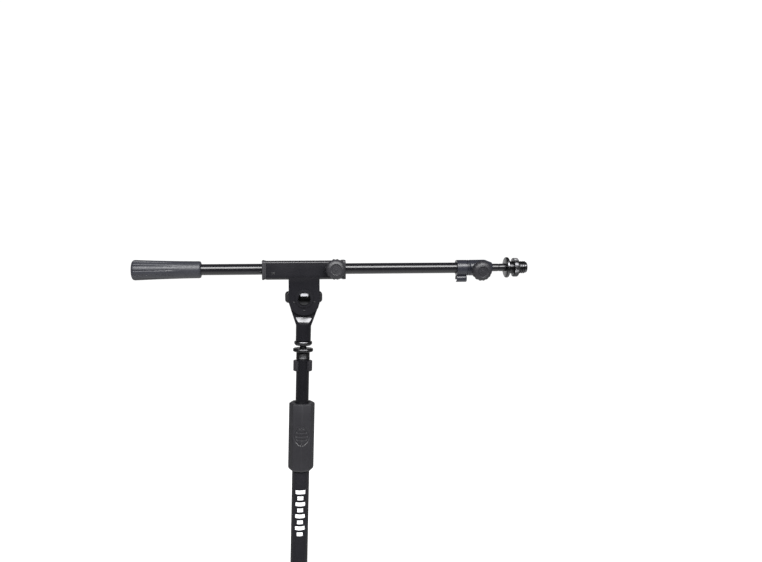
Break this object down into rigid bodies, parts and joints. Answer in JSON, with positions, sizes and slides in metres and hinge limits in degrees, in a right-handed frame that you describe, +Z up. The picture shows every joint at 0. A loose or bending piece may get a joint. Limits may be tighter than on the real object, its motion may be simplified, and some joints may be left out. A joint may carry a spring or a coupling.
{
  "type": "boom microphone stand",
  "caption": "Floor stand for a microphone: folding tripod, telescopic pole with a twist grip, tilting head and counterweighted telescopic boom.",
  "frame": {"origin": "on the floor, on the axis of the pole", "axes": "+Z up the pole, +X along the boom towards the microphone, +Y away from the side with the clamping knobs"},
  "size_m": [0.566, 0.493, 1.0503],
  "materials": {
    "gloss_black": "gloss",
    "satin_black": "satin",
    "black_nickel": "polished",
    "zinc": "satin",
    "graphite_rubber": "matte",
    "graphite_plastic": "satin",
    "nylon": "matte",
    "foot_rubber": "matte"
  },
  "bodies": {
    "base": {"lower_tube": "gloss_black", "tube_end_cap": "nylon", "tripod_hub": "satin_black", "leg_rivet_1": "zinc", "leg_rivet_2": "zinc", "leg_rivet_3": "zinc", "clutch_body": "nylon", "clutch_collet": "nylon"},
    "leg_1": {"leg_knuckle_1": "nylon", "leg_tube_1": "gloss_black", "leg_foot_1": "foot_rubber"},
    "leg_2": {"leg_knuckle_2": "nylon", "leg_tube_2": "gloss_black", "leg_foot_2": "foot_rubber"},
    "leg_3": {"leg_knuckle_3": "nylon", "leg_tube_3": "gloss_black", "leg_foot_3": "foot_rubber"},
    "hub_clamp": {"hub_knob": "graphite_plastic", "hub_screw": "zinc"},
    "grip": {"grip_shell": "graphite_plastic"},
    "pole_carrier": {"pole_bush": "nylon"},
    "pole": {"upper_tube": "gloss_black", "top_stud": "black_nickel", "pole_clip": "graphite_plastic", "yoke": "satin_black", "friction_disc_front": "nylon", "friction_disc_rear": "nylon"},
    "pole_nut": {"pole_lock_nut": "black_nickel"},
    "saddle": {"saddle_bracket": "satin_black", "end_bush_left": "graphite_plastic", "end_bush_right": "graphite_plastic", "tilt_bolt": "black_nickel", "tilt_washer": "black_nickel", "boom_shoe": "nylon"},
    "tilt_clamp": {"tilt_handle": "graphite_plastic", "handle_nut": "zinc"},
    "boom_clamp": {"boom_knob": "graphite_plastic", "boom_screw": "zinc"},
    "boom": {"boom_tube": "gloss_black", "stop_pin": "black_nickel", "counterweight_sleeve": "graphite_rubber", "counterweight_core": "zinc", "boom_clip": "graphite_plastic", "rod_clutch": "graphite_plastic", "rod_shoe": "nylon"},
    "rod_clamp": {"rod_knob": "graphite_plastic", "rod_screw": "zinc"},
    "rod_carrier": {"rod_bush": "nylon"},
    "rod": {"inner_rod": "gloss_black", "rod_stud": "black_nickel"},
    "rod_nut": {"rod_lock_nut": "black_nickel"}
  },
  "joints": [
    {"name": "leg_fold_1", "type": "hinge", "parent": "base", "child": "leg_1", "pos_m": [-0.03, 0, 0.113], "axis": [0, 1, 0], "range_deg": [0, 112]},
    {"name": "leg_fold_2", "type": "hinge", "parent": "base", "child": "leg_2", "pos_m": [0.015, 0.02598, 0.113], "axis": [0.866, -0.5, 0], "range_deg": [0, 112]},
    {"name": "leg_fold_3", "type": "hinge", "parent": "base", "child": "leg_3", "pos_m": [0.015, -0.02598, 0.113], "axis": [-0.866, -0.5, 0], "range_deg": [0, 112]},
    {"name": "hub_knob_turn", "type": "hinge", "parent": "base", "child": "hub_clamp", "pos_m": [0.03, 0, 0.113], "axis": [1, 0, 0], "range_deg": [0, 360]},
    {"name": "grip_turn", "type": "hinge", "parent": "base", "child": "grip", "pos_m": [0, 0, 0.822], "axis": [0, 0, 1], "range_deg": [0, 180]},
    {"name": "height_slide", "type": "slide", "parent": "base", "child": "pole_carrier", "axis": [0, 0, 1], "range_m": [-0.038, 0.59]},
    {"name": "pole_turn", "type": "hinge", "parent": "pole_carrier", "child": "pole", "pos_m": [0, 0, 0.9], "axis": [0, 0, 1], "continuous": true},
    {"name": "pole_nut_turn", "type": "hinge", "parent": "pole", "child": "pole_nut", "pos_m": [0, 0, 0.938], "axis": [0, 0, 1], "range_deg": [0, 360]},
    {"name": "boom_tilt", "type": "hinge", "parent": "pole", "child": "saddle", "pos_m": [0, 0, 0.994], "axis": [0, -1, 0], "range_deg": [-91.6, 88.4]},
    {"name": "tilt_handle_turn", "type": "hinge", "parent": "saddle", "child": "tilt_clamp", "pos_m": [0, 0.019, 0.994], "axis": [0, 1, 0], "range_deg": [0, 360]},
    {"name": "boom_knob_turn", "type": "hinge", "parent": "saddle", "child": "boom_clamp", "pos_m": [0.03678, -0.02, 1.03104], "axis": [0, -1, 0], "range_deg": [0, 360]},
    {"name": "boom_slide", "type": "slide", "parent": "saddle", "child": "boom", "axis": [0.9996, 0, 0.0279], "range_m": [-0.14, 0.0006]},
    {"name": "rod_knob_turn", "type": "hinge", "parent": "boom", "child": "rod_clamp", "pos_m": [0.21941, 0, 1.03614], "axis": [0.0048, -0.9848, -0.1736], "range_deg": [0, 360]},
    {"name": "rod_slide", "type": "slide", "parent": "boom", "child": "rod_carrier", "axis": [0.9996, 0, 0.0279], "range_m": [0, 0.29]},
    {"name": "rod_roll", "type": "hinge", "parent": "rod_carrier", "child": "rod", "pos_m": [0.2489, 0, 1.03697], "axis": [0.9996, 0, 0.0279], "continuous": true},
    {"name": "rod_nut_turn", "type": "hinge", "parent": "rod", "child": "rod_nut", "pos_m": [0.26789, 0, 1.0375], "axis": [0.9996, 0, 0.0279], "range_deg": [0, 360]}
  ]
}
